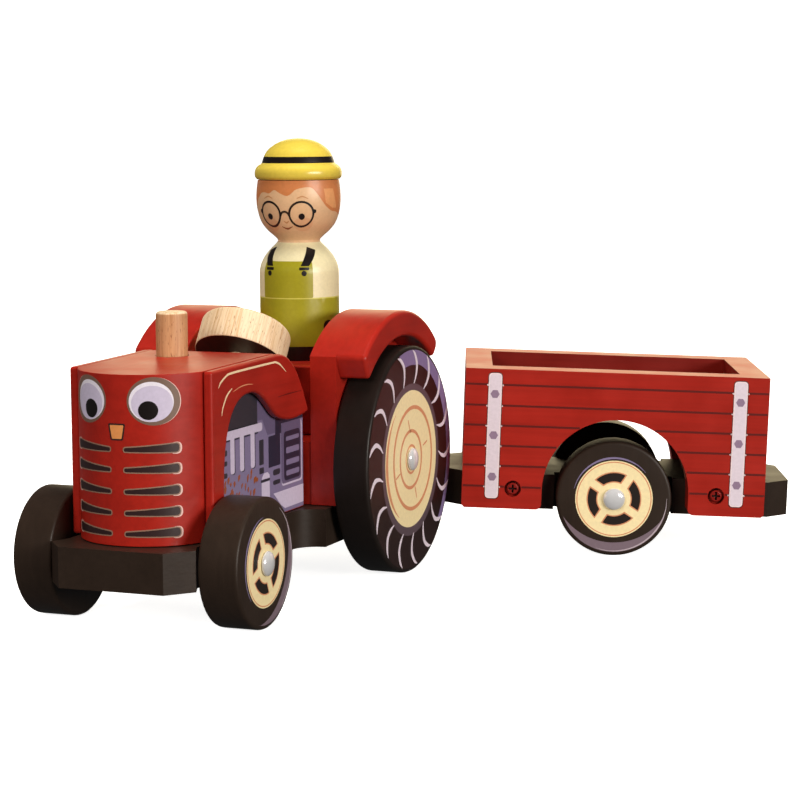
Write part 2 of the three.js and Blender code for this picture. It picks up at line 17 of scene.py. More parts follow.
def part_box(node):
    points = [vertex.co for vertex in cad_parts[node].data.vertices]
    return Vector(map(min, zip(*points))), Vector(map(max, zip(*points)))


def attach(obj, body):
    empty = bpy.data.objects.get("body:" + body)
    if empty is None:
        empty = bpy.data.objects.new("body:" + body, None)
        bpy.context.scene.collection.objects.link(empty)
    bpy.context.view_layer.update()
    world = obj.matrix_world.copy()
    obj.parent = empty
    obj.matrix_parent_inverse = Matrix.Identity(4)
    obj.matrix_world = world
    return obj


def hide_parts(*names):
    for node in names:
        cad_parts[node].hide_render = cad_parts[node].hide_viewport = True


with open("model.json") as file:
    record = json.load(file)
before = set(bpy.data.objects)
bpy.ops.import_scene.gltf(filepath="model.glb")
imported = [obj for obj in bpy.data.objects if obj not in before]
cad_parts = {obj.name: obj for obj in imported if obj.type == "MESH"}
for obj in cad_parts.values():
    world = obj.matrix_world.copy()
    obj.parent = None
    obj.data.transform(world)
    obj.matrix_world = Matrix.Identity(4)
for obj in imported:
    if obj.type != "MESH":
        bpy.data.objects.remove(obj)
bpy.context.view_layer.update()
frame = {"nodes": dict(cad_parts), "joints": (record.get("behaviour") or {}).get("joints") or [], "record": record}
scene = bpy.context.scene

MM = 0.001
TURN = 2 * math.pi
X_AXIS = Vector((1, 0, 0))
Z_AXIS = Vector((0, 0, 1))
SIDES = ((1, "left"), (-1, "right"))


# ---- places ----------------------------------------------

def joint(name):
    return next(j for j in frame["joints"] if j["name"] == name)


def node_centre(node):
    low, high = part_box(node)
    return (low + high) / 2


def basis(x, y, z, origin):
    """A place whose axes are x, y and z."""
    place = Matrix((x, y, z)).transposed().to_4x4()
    place.translation = origin
    return place


axle = node_centre("front_axle")
TRACTOR = Matrix.Translation((axle.x, axle.y, 0))

trailer_spin = joint("trailer_left_spin")
trailer_axle = Vector(trailer_spin["pos_m"])
trailer_left = Vector(trailer_spin["axis"]).normalized()
cargo_floor = next(m for m in frame["record"]["mounts"] if m["name"] == "cargo_floor")
trailer_up = Vector(cargo_floor["axis"]).normalized()
TRAILER = basis(trailer_left, trailer_up.cross(trailer_left), trailer_up, trailer_axle)
TRAILER_LEVEL = basis(trailer_left, Z_AXIS.cross(trailer_left), Z_AXIS, trailer_axle)

steer_joint = joint("steering_turn")
steer_up = Vector(steer_joint["axis"]).normalized()
STEERING = basis(X_AXIS, steer_up.cross(X_AXIS), steer_up, Vector(steer_joint["pos_m"]))

doll = node_centre("driver_hat")
DOLL_HEADING = math.radians(4)    # the doll looks a little to the tractor's left
DOLL = Matrix.Translation((doll.x, doll.y, 0)) @ Matrix.Rotation(DOLL_HEADING, 4, "Z")


def in_place(place, x, y, z):
    """The millimetre point (x, y, z) of a place, as a place of its own."""
    return place @ Matrix.Translation(Vector((x, y, z)) * MM)


def side_on(place, side, out, y=0, z=0):
    """A place on a piece's left (side 1) or right (side -1): X level along it, Y up, Z outwards."""
    origin = Vector((side * out, y, z)) * MM
    return place @ basis(Vector((0, side, 0)), Z_AXIS, Vector((side, 0, 0)), origin)


def extent(node, place=TRACTOR):
    """Lowest and highest corner of a frame node in millimetres about a place."""
    inverse = place.inverted()
    points = [inverse @ v.co / MM for v in frame["nodes"][node].data.vertices]
    low = Vector([min(p[i] for p in points) for i in range(3)])
    high = Vector([max(p[i] for p in points) for i in range(3)])
    return low, high


# ---- numbers and curves ----------------------------------

def smooth_path(points, steps=8):
    """A Catmull-Rom curve through the points."""
    pts = [Vector(p) for p in points]
    pts = [2 * pts[0] - pts[1], *pts, 2 * pts[-1] - pts[-2]]
    out = []
    for a, b, c, d in zip(pts, pts[1:], pts[2:], pts[3:]):
        for k in range(steps):
            t = k / steps
            out.append(0.5 * (2 * b + (c - a) * t + (2 * a - 5 * b + 4 * c - d) * t ** 2
                              + (3 * b - a - 3 * c + d) * t ** 3))
    out.append(pts[-2])
    return out


def arc(cx, cy, r, start, end, count):
    """Points on an arc, angles in degrees."""
    angles = [math.radians(start + (end - start) * k / count) for k in range(count + 1)]
    return [Vector((cx + r * math.cos(a), cy + r * math.sin(a))) for a in angles]


def ellipse(cx, cy, rx, ry, count):
    angles = [TURN * k / count for k in range(count)]
    return [Vector((cx + rx * math.cos(a), cy + ry * math.sin(a))) for a in angles]


def circle(cx, cy, r, count):
    return ellipse(cx, cy, r, r, count)


def polygon(*points):
    return [Vector(p) for p in points]


def bend(start, corner, end, count):
    """Points on a curve from start to end, bent towards a corner."""
    shares = [k / count for k in range(count + 1)]
    return [(1 - t) ** 2 * start + 2 * t * (1 - t) * corner + t ** 2 * end for t in shares]


def rounded(points, radius, count=5):
    """The polygon with each corner rounded."""
    pts = [Vector(p) for p in points]
    out = []
    for before, corner, after in zip([pts[-1], *pts], pts, [*pts[1:], pts[0]]):
        into, away = (corner - before).normalized(), (after - corner).normalized()
        reach = min(radius, (corner - before).length * 0.49, (after - corner).length * 0.49)
        out += bend(corner - into * reach, corner, corner + away * reach, count)
    return out


def bar(x0, x1, y0, y1, radius=0.5):
    """A rectangle with rounded corners."""
    corners = polygon((x0, y0), (x1, y0), (x1, y1), (x0, y1))
    return rounded(corners, radius) if radius else corners


STROKE_END = 3           # points that round each end of a stroke


def stroke(points, widths, steps=8):
    """The outline of a brush stroke along a curve, as wide as widths say at each point."""
    path = smooth_path(points, steps)
    last = len(path) - 1
    left, right = [], []
    for k, p in enumerate(path):
        along = (path[min(k + 1, last)] - path[max(k - 1, 0)]).normalized()
        side = Vector((-along.y, along.x))
        place = k / last * (len(widths) - 1)
        low = min(int(place), len(widths) - 2)
        half = (widths[low] + (widths[low + 1] - widths[low]) * (place - low)) / 2
        left.append(p + side * half)
        right.append(p - side * half)
    ends = []
    for p, q, a, b in ((path[-1], path[-2], left[-1], right[-1]), (path[0], path[1], right[0], left[0])):
        out = (p - q).normalized() * (a - b).length / 2
        turns = [math.pi * k / (STROKE_END + 1) for k in range(1, STROKE_END + 1)]
        ends.append([p + (a - p) * math.cos(t) + out * math.sin(t) for t in turns])
    return left + ends[0] + right[::-1] + ends[1]


def turned_by(outline, degrees):
    c, s = math.cos(math.radians(degrees)), math.sin(math.radians(degrees))
    return [Vector((p.x * c - p.y * s, p.x * s + p.y * c)) for p in outline]


def fillet_profile(corners, count=5):
    """Profile of (radius, height, corner rounding) entries, with the corners rounded."""
    out = []
    last = len(corners) - 1
    for k, (r, h, rounding) in enumerate(corners):
        here = Vector((r, h))
        if rounding == 0 or k in (0, last):
            out.append(here)
            continue
        before, after = Vector(corners[k - 1][:2]), Vector(corners[k + 1][:2])
        start = here + (before - here).normalized() * rounding
        end = here + (after - here).normalized() * rounding
        out += bend(start, here, end, count)
    return out


# ---- materials -------------------------------------------

def srgb(r, g, b):
    """A colour from 0 to 255 in sRGB, as linear RGBA."""
    def linear(v):
        v /= 255
        return v / 12.92 if v <= 0.04045 else ((v + 0.055) / 1.055) ** 2.4
    return (linear(r), linear(g), linear(b), 1)


GRAIN = "grain_place"      # each piece's own coordinates in metres, so that grain turns with the piece


class Nodes:
    """A short way to write a material's node tree."""

    def __init__(self, name):
        self.material = bpy.data.materials.new(name)
        self.material.use_nodes = True
        self.tree = self.material.node_tree
        self.shader = self.tree.nodes["Principled BSDF"]
        self.coordinates = self.add("ShaderNodeAttribute", attribute_name=GRAIN).outputs["Vector"]

    def link(self, output, target):
        self.tree.links.new(output, target)

    def drive(self, socket, output):
        """Link an output to one of the shader's sockets."""
        self.link(output, self.shader.inputs[socket])

    def add(self, kind, **settings):
        node = self.tree.nodes.new(kind)
        for key, value in settings.items():
            setattr(node, key, value)
        return node

    def stretched(self, scale):
        """The object's own coordinates, in metres, times a scale for each axis."""
        node = self.add("ShaderNodeMapping")
        node.inputs["Scale"].default_value = scale
        self.link(self.coordinates, node.inputs["Vector"])
        return node.outputs["Vector"]

    def noise(self, vector, scale, detail=3.0, roughness=0.5):
        node = self.add("ShaderNodeTexNoise")
        node.inputs["Scale"].default_value = scale
        node.inputs["Detail"].default_value = detail
        node.inputs["Roughness"].default_value = roughness
        self.link(vector, node.inputs["Vector"])
        return node.outputs["Fac"]

    def ramp(self, value, *stops):
        """Colours at places from 0 to 1."""
        node = self.add("ShaderNodeValToRGB")
        elements = node.color_ramp.elements
        while len(elements) < len(stops):
            elements.new(0.5)
        for element, (place, colour) in zip(elements, stops):
            element.position = place
            element.color = colour
        self.link(value, node.inputs["Fac"])
        return node.outputs["Color"]

    def mix(self, kind, factor, a, b):
        node = self.add("ShaderNodeMix", data_type="RGBA", blend_type=kind)
        for value, socket in ((factor, node.inputs["Factor"]), (a, node.inputs[6]), (b, node.inputs[7])):
            if hasattr(value, "links"):
                self.link(value, socket)
            else:
                socket.default_value = value
        return node.outputs[2]

    def bump(self, height, strength, distance_mm):
        node = self.add("ShaderNodeBump")
        node.inputs["Strength"].default_value = strength
        node.inputs["Distance"].default_value = distance_mm * MM
        self.link(height, node.inputs["Height"])
        self.drive("Normal", node.outputs["Normal"])

    def set(self, **values):
        names = {"roughness": "Roughness", "metallic": "Metallic", "coat": "Coat Weight",
                 "coat_roughness": "Coat Roughness", "specular": "Specular IOR Level"}
        for key, value in values.items():
            self.shader.inputs[names[key]].default_value = value


def grey(v):
    return (v, v, v, 1)


# Noise cells to the metre along X, Y and Z. Painted wood has its grain along Y, bare beech along Z.
PAINTED_GRAIN = (420, 14, 420)
BEECH_BANDS = (170, 170, 9)
BEECH_FIBRES = (1500, 1500, 45)
BEECH_FLECKS = (2600, 2600, 420)
BRUSHING = (2500, 120, 120)
FIBRE_BROWN = srgb(214, 184, 150)
FLECK_BROWN = srgb(150, 96, 60)


def painted_wood(name, colour, rough=0.36, grain=0.22, coat=0.12, specular=0.34):
    """Opaque satin paint on wood: slight mottling, and the grain telling through."""
    n = Nodes(name)
    grain_noise = n.noise(n.stretched(PAINTED_GRAIN), scale=1.0, detail=4.0, roughness=0.6)
    cloud = n.noise(n.coordinates, scale=55.0)
    shade = n.mix("MULTIPLY", 1.0, colour, n.ramp(cloud, (0.25, grey(0.86)), (0.75, grey(1.1))))
    shade = n.mix("MULTIPLY", 0.6, shade, n.ramp(grain_noise, (0.3, grey(0.8)), (0.62, grey(1.06))))
    n.drive("Base Color", shade)
    n.drive("Roughness", n.ramp(cloud, (0.3, grey(rough - 0.05)), (0.7, grey(rough + 0.07))))
    n.set(coat=coat, coat_roughness=0.22, specular=specular)
    n.bump(grain_noise, grain, distance_mm=0.12)
    return n.material


def bare_beech(name, pale, deep):
    """Sanded beech: soft growth bands, fine fibres, and the short brown flecks of beech."""
    n = Nodes(name)
    bands = n.noise(n.stretched(BEECH_BANDS), scale=1.0)
    fibres = n.noise(n.stretched(BEECH_FIBRES), scale=1.0, detail=4.0, roughness=0.6)
    flecks = n.noise(n.stretched(BEECH_FLECKS), scale=1.0, detail=1.0)
    shade = n.ramp(bands, (0.3, pale), (0.5, deep), (0.56, pale), (0.75, deep))
    shade = n.mix("MULTIPLY", 0.75, shade, n.ramp(fibres, (0.3, FIBRE_BROWN), (0.55, grey(1.0))))
    shade = n.mix("MULTIPLY", 0.7, shade, n.ramp(flecks, (0.27, FLECK_BROWN), (0.36, grey(1.0))))
    n.drive("Base Color", shade)
    n.drive("Roughness", n.ramp(fibres, (0.3, grey(0.6)), (0.6, grey(0.48))))
    n.bump(fibres, 0.3, distance_mm=0.06)
    return n.material


def metal(name, colour, rough, metallic, brushed=0.0):
    """Bright metal with faint wiping marks, and with drawn lines as strong as brushed says."""
    n = Nodes(name)
    marks = n.noise(n.coordinates, scale=260.0, detail=4.0, roughness=0.6)
    n.drive("Base Color", n.mix("MULTIPLY", 0.5, colour, n.ramp(marks, (0.3, grey(0.88)), (0.7, grey(1.0)))))
    n.drive("Roughness", n.ramp(marks, (0.3, grey(rough)), (0.75, grey(rough + 0.08))))
    n.set(metallic=metallic)
    if brushed:
        n.bump(n.noise(n.stretched(BRUSHING), scale=1.0, detail=2.0), brushed, distance_mm=0.03)
    return n.material


def ink(name, r, g, b, rough=0.42):
    """Printed ink: a thin even film with a trace of mottling from the paint below."""
    n = Nodes(name)
    mottle = n.noise(n.coordinates, scale=700.0, roughness=0.6)
    mottling = n.ramp(mottle, (0.3, grey(0.93)), (0.7, grey(1.03)))
    n.drive("Base Color", n.mix("MULTIPLY", 1.0, srgb(r, g, b), mottling))
    n.set(roughness=rough, coat=0.15, coat_roughness=0.25)
    n.bump(mottle, 0.08, distance_mm=0.05)
    return n.material


red_paint = painted_wood("red_paint", srgb(165, 35, 24))
# A darker red for the faces inside the trailer box: painted shade, where the walls shade each other.
red_painted_shade = painted_wood("red_paint_shaded_inside", srgb(116, 25, 18))
matt = {"rough": 0.42, "grain": 0.55, "coat": 0, "specular": 0.3}
black_paint = painted_wood("black_paint", srgb(47, 36, 29), **matt)
# A darker black for the rear tyres: painted shade, where the fenders shade them from above.
rear_tyre_painted_shade = painted_wood("black_paint_rear_shaded", srgb(31, 24, 21), **matt)
beech = bare_beech("beech", srgb(235, 213, 180), srgb(226, 199, 160))
beech_dark = bare_beech("beech_dark", srgb(206, 160, 116), srgb(192, 144, 100))
steel = metal("steel", srgb(196, 196, 200), 0.28, metallic=0.75, brushed=0.2)
# Only partly metallic, so the near-white colour also shows as diffuse white: a painted reflection of bright
# surroundings on the caps.
chrome = metal("chrome", srgb(246, 246, 248), 0.08, metallic=0.4)
# Screw heads in a darker red than the panels, with near-black paint in their recesses: painted shade of the
# counterbores and crosses.
shaded_screw_red = painted_wood("red_screw", srgb(132, 26, 20), rough=0.34, grain=0.1)
screw_shade = painted_wood("red_screw_recess_shade", srgb(44, 14, 12), rough=0.5, grain=0.1)

# Colour from 0 to 255 in sRGB, and roughness where it isn't the usual one.
INK_COLOURS = {
    "black": (22, 16, 16, 0.34),
    "outline_brown": (118, 92, 78),
    "rim_pink": (232, 190, 180),
    "eye_white": (236, 228, 238, 0.35),
    "eye_lilac": (205, 194, 216, 0.35),
    "slat": (48, 30, 30),
    "slat_edge": (142, 110, 92),
    "beak": (228, 148, 84),
    "cream": (252, 232, 180),
    "cream_line": (252, 224, 182),
    "salmon": (222, 150, 108),
    "red_line": (94, 20, 15),
    "lilac": (134, 121, 156),
    "lilac_mid": (108, 96, 128),
    "lilac_pale": (214, 200, 224),
    "night": (52, 50, 60),
    "navy": (44, 42, 62),
    "rust": (158, 82, 42),
    "strap": (226, 211, 222),
    "strap_edge": (243, 222, 224),
    "strap_shadow": (84, 22, 20),
    "hexagon": (146, 122, 146),
    "tyre_brown": (38, 20, 18),
    "tyre_grey": (92, 76, 84),
    "tyre_shine": (124, 106, 116),
    "tyre_light": (190, 174, 182),
    "claw": (236, 222, 234),
    "violet": (134, 116, 160),
    "window": (34, 25, 21),
    "doll_skin": (222, 180, 137, 0.4),
    "hair": (204, 126, 74),
    "hair_light": (224, 156, 100),
    "brow": (196, 138, 90),
    "blush": (217, 167, 125, 0.4),
    "mouth": (146, 74, 46),
    "shirt": (230, 219, 176, 0.35),
    "green": (156, 148, 32, 0.35),
    "green_line": (206, 198, 92, 0.35),
    "yellow": (222, 196, 74, 0.26),
}
INKS = {name: ink(f"ink_{name}", *values) for name, values in INK_COLOURS.items()}


# ---- pieces ----------------------------------------------

def linked(name, data):
    """A new object in the scene."""
    made = bpy.data.objects.new(name, data)
    scene.collection.objects.link(made)
    return made


def mesh_of(bm, name):
    mesh = bpy.data.meshes.new(name)
    bm.to_mesh(mesh)
    bm.free()
    return mesh


def in_metres(mesh):
    """Scale a mesh from millimetres, and keep its own coordinates for the grain."""
    mesh.transform(Matrix.Scale(MM, 4))
    own = mesh.attributes.new(GRAIN, "FLOAT_VECTOR", "POINT")
    own.data.foreach_set("vector", [c for v in mesh.vertices for c in v.co])


def finish_piece(name, mesh, place, body, materials, replaces=()):
    """Put a mesh, given in millimetres about its place, into the scene and hang it on its body."""
    in_metres(mesh)
    mesh.transform(place)
    piece = linked(name, mesh)
    for material in materials:
        mesh.materials.append(material)
    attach(piece, body)
    if replaces:
        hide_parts(*replaces)
    return piece


def smooth(mesh, degrees=32):
    mesh.polygons.foreach_set("use_smooth", [True] * len(mesh.polygons))
    mesh.set_sharp_from_angle(angle=math.radians(degrees))


BEVEL_STEPS = 4
ON_PLANE = 0.05          # a point this near to a plane counts as on it
ON_AXIS = 1e-6           # a radius below this is a point on the axis
WELD = 0.002             # points this near to each other are one
FACET_DEGREES = 0.6      # faces that meet at less are one flat face
SHARP_DEGREES = 30       # edges that turn by more are rounded


def bevelled(mesh, radius):
    """The mesh with its marked edges rounded."""
    piece = linked("bevelled", mesh)
    bevel = piece.modifiers.new("edges", "BEVEL")
    bevel.width = radius
    bevel.segments = BEVEL_STEPS
    bevel.limit_method = "WEIGHT"
    bevel.miter_outer = "MITER_ARC"
    bevel.harden_normals = True
    graph = bpy.context.evaluated_depsgraph_get()
    made = bpy.data.meshes.new_from_object(piece.evaluated_get(graph), depsgraph=graph)
    bpy.data.objects.remove(piece)
    return made


def softened(node, place, body, material, radius, reach=(), flush=()):
    """A copy of a frame node's shape with its edges rounded by radius, standing for the node.

    reach moves the points at some distances from the middle plane to others; edges that lie wholly at a
    flush distance stay sharp, because another piece meets them there.
    """
    source = frame["nodes"][node].data
    to_local = Matrix.Scale(1 / MM, 4) @ place.inverted()
    mesh = bpy.data.meshes.new(node)
    corners = [to_local @ v.co for v in source.vertices]
    mesh.from_pydata(corners, [], [tuple(p.vertices) for p in source.polygons])
    bm = bmesh.new()
    bm.from_mesh(mesh)
    for v in bm.verts:
        for old, new in reach:
            if abs(abs(v.co.x) - old) < ON_PLANE:
                v.co.x = math.copysign(new, v.co.x)
    bmesh.ops.remove_doubles(bm, verts=bm.verts, dist=WELD)
    bmesh.ops.dissolve_limit(bm, angle_limit=math.radians(FACET_DEGREES), verts=bm.verts, edges=bm.edges)
    weight = bm.edges.layers.float.new("bevel_weight_edge")
    for edge in bm.edges:
        met = any(all(abs(abs(v.co.x) - x) < ON_PLANE for v in edge.verts) for x in flush)
        sharp = len(edge.link_faces) == 2 and edge.calc_face_angle(0) > math.radians(SHARP_DEGREES)
        edge[weight] = 1.0 if sharp and not met else 0.0
    bm.to_mesh(mesh)
    bm.free()
    smooth(mesh, SHARP_DEGREES)
    return finish_piece(node + "_shape", bevelled(mesh, radius), place, body, [material], [node])


def revolved(profile, sides, zone=None):
    """A profile of (radius, height) turned about Z. zone gives a face's material number from its height."""
    bm = bmesh.new()
    rings = []
    for p in profile:
        if p.x < ON_AXIS:
            rings.append([bm.verts.new((0, 0, p.y))])
            continue
        angles = [TURN * k / sides for k in range(sides)]
        rings.append([bm.verts.new((p.x * math.cos(a), p.x * math.sin(a), p.y)) for a in angles])
    for low, high in zip(rings, rings[1:]):
        for k in range(sides):
            j = (k + 1) % sides
            corners = [low[k % len(low)], low[j % len(low)], high[j % len(high)], high[k % len(high)]]
            face = bm.faces.new(list(dict.fromkeys(corners)))
            if zone:
                face.material_index = zone(sum(v.co.z for v in face.verts) / len(face.verts))
    return bm


def lathe(name, profile, place, body, materials, replaces, sides=96, zone=None):
    """A turned piece."""
    bm = revolved(profile, sides, zone)
    bmesh.ops.recalc_face_normals(bm, faces=bm.faces)
    mesh = mesh_of(bm, name)
    smooth(mesh)
    return finish_piece(name, mesh, place, body, materials, replaces)


# ---- prints ----------------------------------------------

PRINT_LIFT = 0.04        # height of the lowest printed layer over its piece
PRINT_STEP = 0.03        # height of each further layer over the one below
PRINT_SINK = 0.06        # how far a print reaches down into the piece it is on
MEET = 1e-5              # points of an outline this near to each other are one


def inside(loops, p):
    """Even-odd test of a point against closed loops."""
    count = 0
    for loop in loops:
        for a, b in zip(loop, [*loop[1:], loop[0]]):
            if (a.y > p.y) != (b.y > p.y) and p.x < a.x + (p.y - a.y) * (b.x - a.x) / (b.y - a.y):
                count += 1
    return count % 2 == 1


def filled(loops, spacing):
    """Flat triangles that fill closed loops, with extra points at a spacing to follow a curve."""
    points, edges = [], []
    for loop in loops:
        start = len(points)
        for a, b in zip(loop, [*loop[1:], loop[0]]):
            cuts = max(1, math.ceil((b - a).length / spacing)) if spacing else 1
            points += [a.lerp(b, k / cuts) for k in range(cuts)]
        edges += [(k, k + 1) for k in range(start, len(points) - 1)] + [(len(points) - 1, start)]
    if spacing:
        x0, x1 = min(p.x for p in points), max(p.x for p in points)
        y0, y1 = min(p.y for p in points), max(p.y for p in points)
        for i in range(1, int((x1 - x0) / spacing) + 1):
            for j in range(1, int((y1 - y0) / spacing) + 1):
                p = Vector((x0 + i * spacing, y0 + j * spacing))
                if inside(loops, p):
                    points.append(p)
    verts, _, faces, *_ = delaunay_2d_cdt(points, edges, [], 0, MEET)
    keep = [f for f in faces if inside(loops, sum((verts[i] for i in f), Vector((0, 0))) / 3)]
    return verts, keep


def printed(name, layers, surface, place, body, spacing=0):
    """One closed film for each layer (height step, ink name, outline, ...).

    surface(u, v, lift) gives a film's points, and spacing is how far apart they are where it bends.
    """
    bm = bmesh.new()
    names = list(dict.fromkeys(layer[1] for layer in layers))
    for level, ink_name, *loops in layers:
        verts, faces = filled(loops, spacing)
        lift = PRINT_LIFT + PRINT_STEP * level
        top = [bm.verts.new(surface(p.x, p.y, lift)) for p in verts]
        low = [bm.verts.new(surface(p.x, p.y, -PRINT_SINK)) for p in verts]
        sides = set()
        made = []
        for face in faces:
            made.append([top[i] for i in face])
            made.append([low[i] for i in reversed(face)])
            sides.update(zip(face, [*face[1:], face[0]]))
        made += [[low[i], low[j], top[j], top[i]] for i, j in sides if (j, i) not in sides]
        for corners in made:
            bm.faces.new(corners).material_index = names.index(ink_name)
    bmesh.ops.delete(bm, geom=[v for v in bm.verts if not v.link_faces], context="VERTS")
    bmesh.ops.recalc_face_normals(bm, faces=bm.faces)
    mesh = mesh_of(bm, name)
    smooth(mesh)
    return finish_piece(name, mesh, place, body, [INKS[n] for n in names])


# ---- wooden blocks ---------------------------------------

cab_out = extent("cab_side_left")[1].x
fender_in = extent("fender_left")[0].x
panel_low, panel_high = extent("trailer_side_left", TRAILER)
wall_half = extent("trailer_front_wall", TRAILER)[1].x
front_wall_inside = abs(extent("trailer_front_wall", TRAILER)[1].y)
rear_wall_inside = abs(extent("trailer_rear_wall", TRAILER)[0].y)
inside_y = min(front_wall_inside, rear_wall_inside) + 2    # faces nearer to the middle are inside the box
SCREW_SHADE_DEPTH = 0.35         # faces this far under a screw's rim are in its recess


def shade_paint_on(piece, material, chosen):
    """Another, darker paint on the faces of a trailer piece whose middle, in trailer millimetres, is chosen: a
    painted shade.
    """
    piece.data.materials.append(material)
    to_trailer = Matrix.Scale(1 / MM, 4) @ TRAILER.inverted()
    for face in piece.data.polygons:
        if chosen(to_trailer @ face.center):
            face.material_index = 1


softened("base_board", TRACTOR, "tractor", black_paint, radius=1.3)
softened("hood_block", TRACTOR, "tractor", red_paint, radius=1.1)
for side_name in ("left", "right"):
    softened(f"hood_side_{side_name}", TRACTOR, "tractor", red_paint, radius=1.2)
    softened(f"cab_side_{side_name}", TRACTOR, "tractor", red_paint, radius=1.0,
             reach=[(cab_out, fender_in)], flush=[fender_in])
    softened(f"fender_{side_name}", TRACTOR, "tractor", red_paint, radius=1.8, flush=[fender_in])
    panel = softened(f"trailer_side_{side_name}", TRAILER, "trailer", red_paint, radius=0.9,
                     flush=[panel_low.x])
    # The panel's inside face takes the darker red: painted shade inside the box.
    shade_paint_on(panel, red_painted_shade, lambda p: abs(p.x) < panel_low.x + ON_PLANE)
softened("footwell_block", TRACTOR, "tractor", red_paint, radius=1.0)
softened("seat_block", TRACTOR, "tractor", red_paint, radius=1.0)
softened("trailer_board", TRAILER, "trailer", black_paint, radius=1.2)
for end in ("front", "rear"):
    wall = softened(f"trailer_{end}_wall", TRAILER, "trailer", red_paint, radius=0.6,
                    reach=[(wall_half, panel_low.x)], flush=[panel_low.x])
    # The wall's inside face takes the darker red: painted shade inside the box.
    shade_paint_on(wall, red_painted_shade, lambda p: abs(p.y) < inside_y)
    for side_name in ("left", "right"):
        node = f"side_screw_{end}_{side_name}"
        screw = softened(node, TRAILER, "trailer", shaded_screw_red, radius=0.15)
        screw_low, screw_high = extent(node, TRAILER)
        # Faces deeper than the rim take the near-black paint: painted shade in the screw's recess.
        rim = max(abs(screw_low.x), abs(screw_high.x)) - SCREW_SHADE_DEPTH
        shade_paint_on(screw, screw_shade, lambda p: abs(p.x) < rim)
# The bed is all in the darker red: painted shade at the bottom of the box.
softened("trailer_bed", TRAILER, "trailer", red_painted_shade, radius=0.4)
for number in range(1, 5):
    softened(f"board_screw_{number}", TRACTOR, "tractor", steel, radius=0.15)


# ---- turned pieces ---------------------------------------

CLEARANCE = 0.08         # between a rod and the hole that turns on it
CAP_FOOT = 0.3           # how far out from the wheel's face a cap starts
CAP_CHAMFER = (0.3, 0.2)             # along the radius and the height
CAP_RIM = 0.5            # height of the upright part of a cap's edge
CAP_RISE = 2.4
FRONT_AXLE = (0, 25.0)               # Y and Z of the tractor's axles
REAR_AXLE = (126.4, 47.7)


def axle_set(place, prefix, y, z, parent, marks, paint):
    """The rod, wheels and caps of one axle, laid out from a place. marks prints a wheel."""
    low, high = extent(f"{prefix}_axle", place)
    rod_r = (high.z - low.z) / 2
    bore = rod_r + CLEARANCE
    end = high.x
    rod = [(0, -end, 0), (rod_r, -end, 0.5), (rod_r, end, 0.5), (0, end, 0)]
    lathe(f"{prefix}_rod", fillet_profile(rod), side_on(place, 1, 0, y, z), parent, [steel],
          [f"{prefix}_axle"], sides=40)
    for side, side_name in SIDES:
        body = f"{prefix}_{side_name}"
        wheel_low, wheel_high = extent(f"{prefix}_wheel_{side_name}", place)
        outer = max(abs(wheel_low.x), abs(wheel_high.x))
        depth = outer - min(abs(wheel_low.x), abs(wheel_high.x))
        r = (wheel_high.z - wheel_low.z) / 2
        face = side_on(place, side, outer, y, z)
        tyre = [(bore, -depth, 0.3), (r, -depth, 1.5), (r, 0, 1.5), (bore, 0, 0.3)]
        lathe(f"{prefix}_tyre_{side_name}", fillet_profile([*tyre, tyre[0]]), face, body,
              [paint], [f"{prefix}_wheel_{side_name}"], sides=160)
        cap_low, cap_high = extent(f"{prefix}_axle_cap_{side_name}", place)
        cap_r = (cap_high.z - cap_low.z) / 2
        shoulder = CAP_FOOT + CAP_RIM
        dome = polygon((0, CAP_FOOT), (cap_r - CAP_CHAMFER[0], CAP_FOOT), (cap_r, CAP_FOOT + CAP_CHAMFER[1]))
        dome += [Vector((cap_r * math.cos(t), shoulder + (CAP_RISE - CAP_RIM) * math.sin(t)))
                 for t in (math.pi / 2 * k / 12 for k in range(12))]
        dome.append(Vector((0, CAP_FOOT + CAP_RISE)))
        lathe(f"{prefix}_cap_{side_name}", dome, face, parent, [chrome],
              [f"{prefix}_axle_cap_{side_name}"], sides=64)
        marks(face, f"{prefix}_wheel_print_{side_name}", body, r)


HUB_HOLE = circle(0, 0, 2.8, 24)     # wheel prints leave the middle free under the cap


def flat(u, v, lift):
    return (u, v, lift)


def wheel_window(r0, r1, outer, inner):
    """A window between two radii, from angle to angle at its outer and inner edge."""
    return arc(0, 0, r1, *outer, 12) + arc(0, 0, r0, *reversed(inner), 12)


def small_wheel_marks(turn):
    """The print of a front or trailer wheel, turned by some degrees."""
    def marks(face, name, body, r):
        layers = [
            (1, "cream", circle(0, 0, 16.8, 96), HUB_HOLE),
            (2, "salmon", circle(0, 0, 16.3, 96), circle(0, 0, 15.85, 96)),
            (0, "lilac", stroke(arc(0, 0, 17.9, 40, 165, 10), [0.15, 0.7, 0.9, 0.6, 0.15])),
            (0, "tyre_shine", arc(0, 0, 23.3, -18, -162, 40) + arc(0, 7.5, 26.7, -146.5, -33.5, 40)),
            (1, "tyre_light", stroke(arc(0, 0, 22.9, -110, 0, 10), [0.1, 0.5, 0.6, 0.1])),
        ]
        border = wheel_window(7.2, 11.9, (61.2, 135.3), (64.6, 128.9))
        window = wheel_window(7.7, 11.4, (64, 132.5), (68.5, 125))
        for degrees in (0, 90, 180, 270):
            layers.append((2, "salmon", turned_by(border, degrees)))
            layers.append((3, "window", turned_by(window, degrees)))
        turned = [(level, colour, *[turned_by(loop, turn) for loop in loops])
                  for level, colour, *loops in layers]
        printed(name, turned, flat, face, body)
    return marks


CLAWS = 17               # curved treads round a rear wheel
CLAW_FIRST = 101         # angle of the first, in degrees
CLAW_PATH = [(0.67, 3.5), (0.75, 0.3), (0.84, 0), (0.92, 3.5), (0.96, 7)]    # share of the radius, degrees
VIOLET_LAST = -30        # violet fills the gaps between the treads from the first to this angle
VIOLET_INNER = (0.83, 0.9)           # its inner edge at either end, as a share of the radius
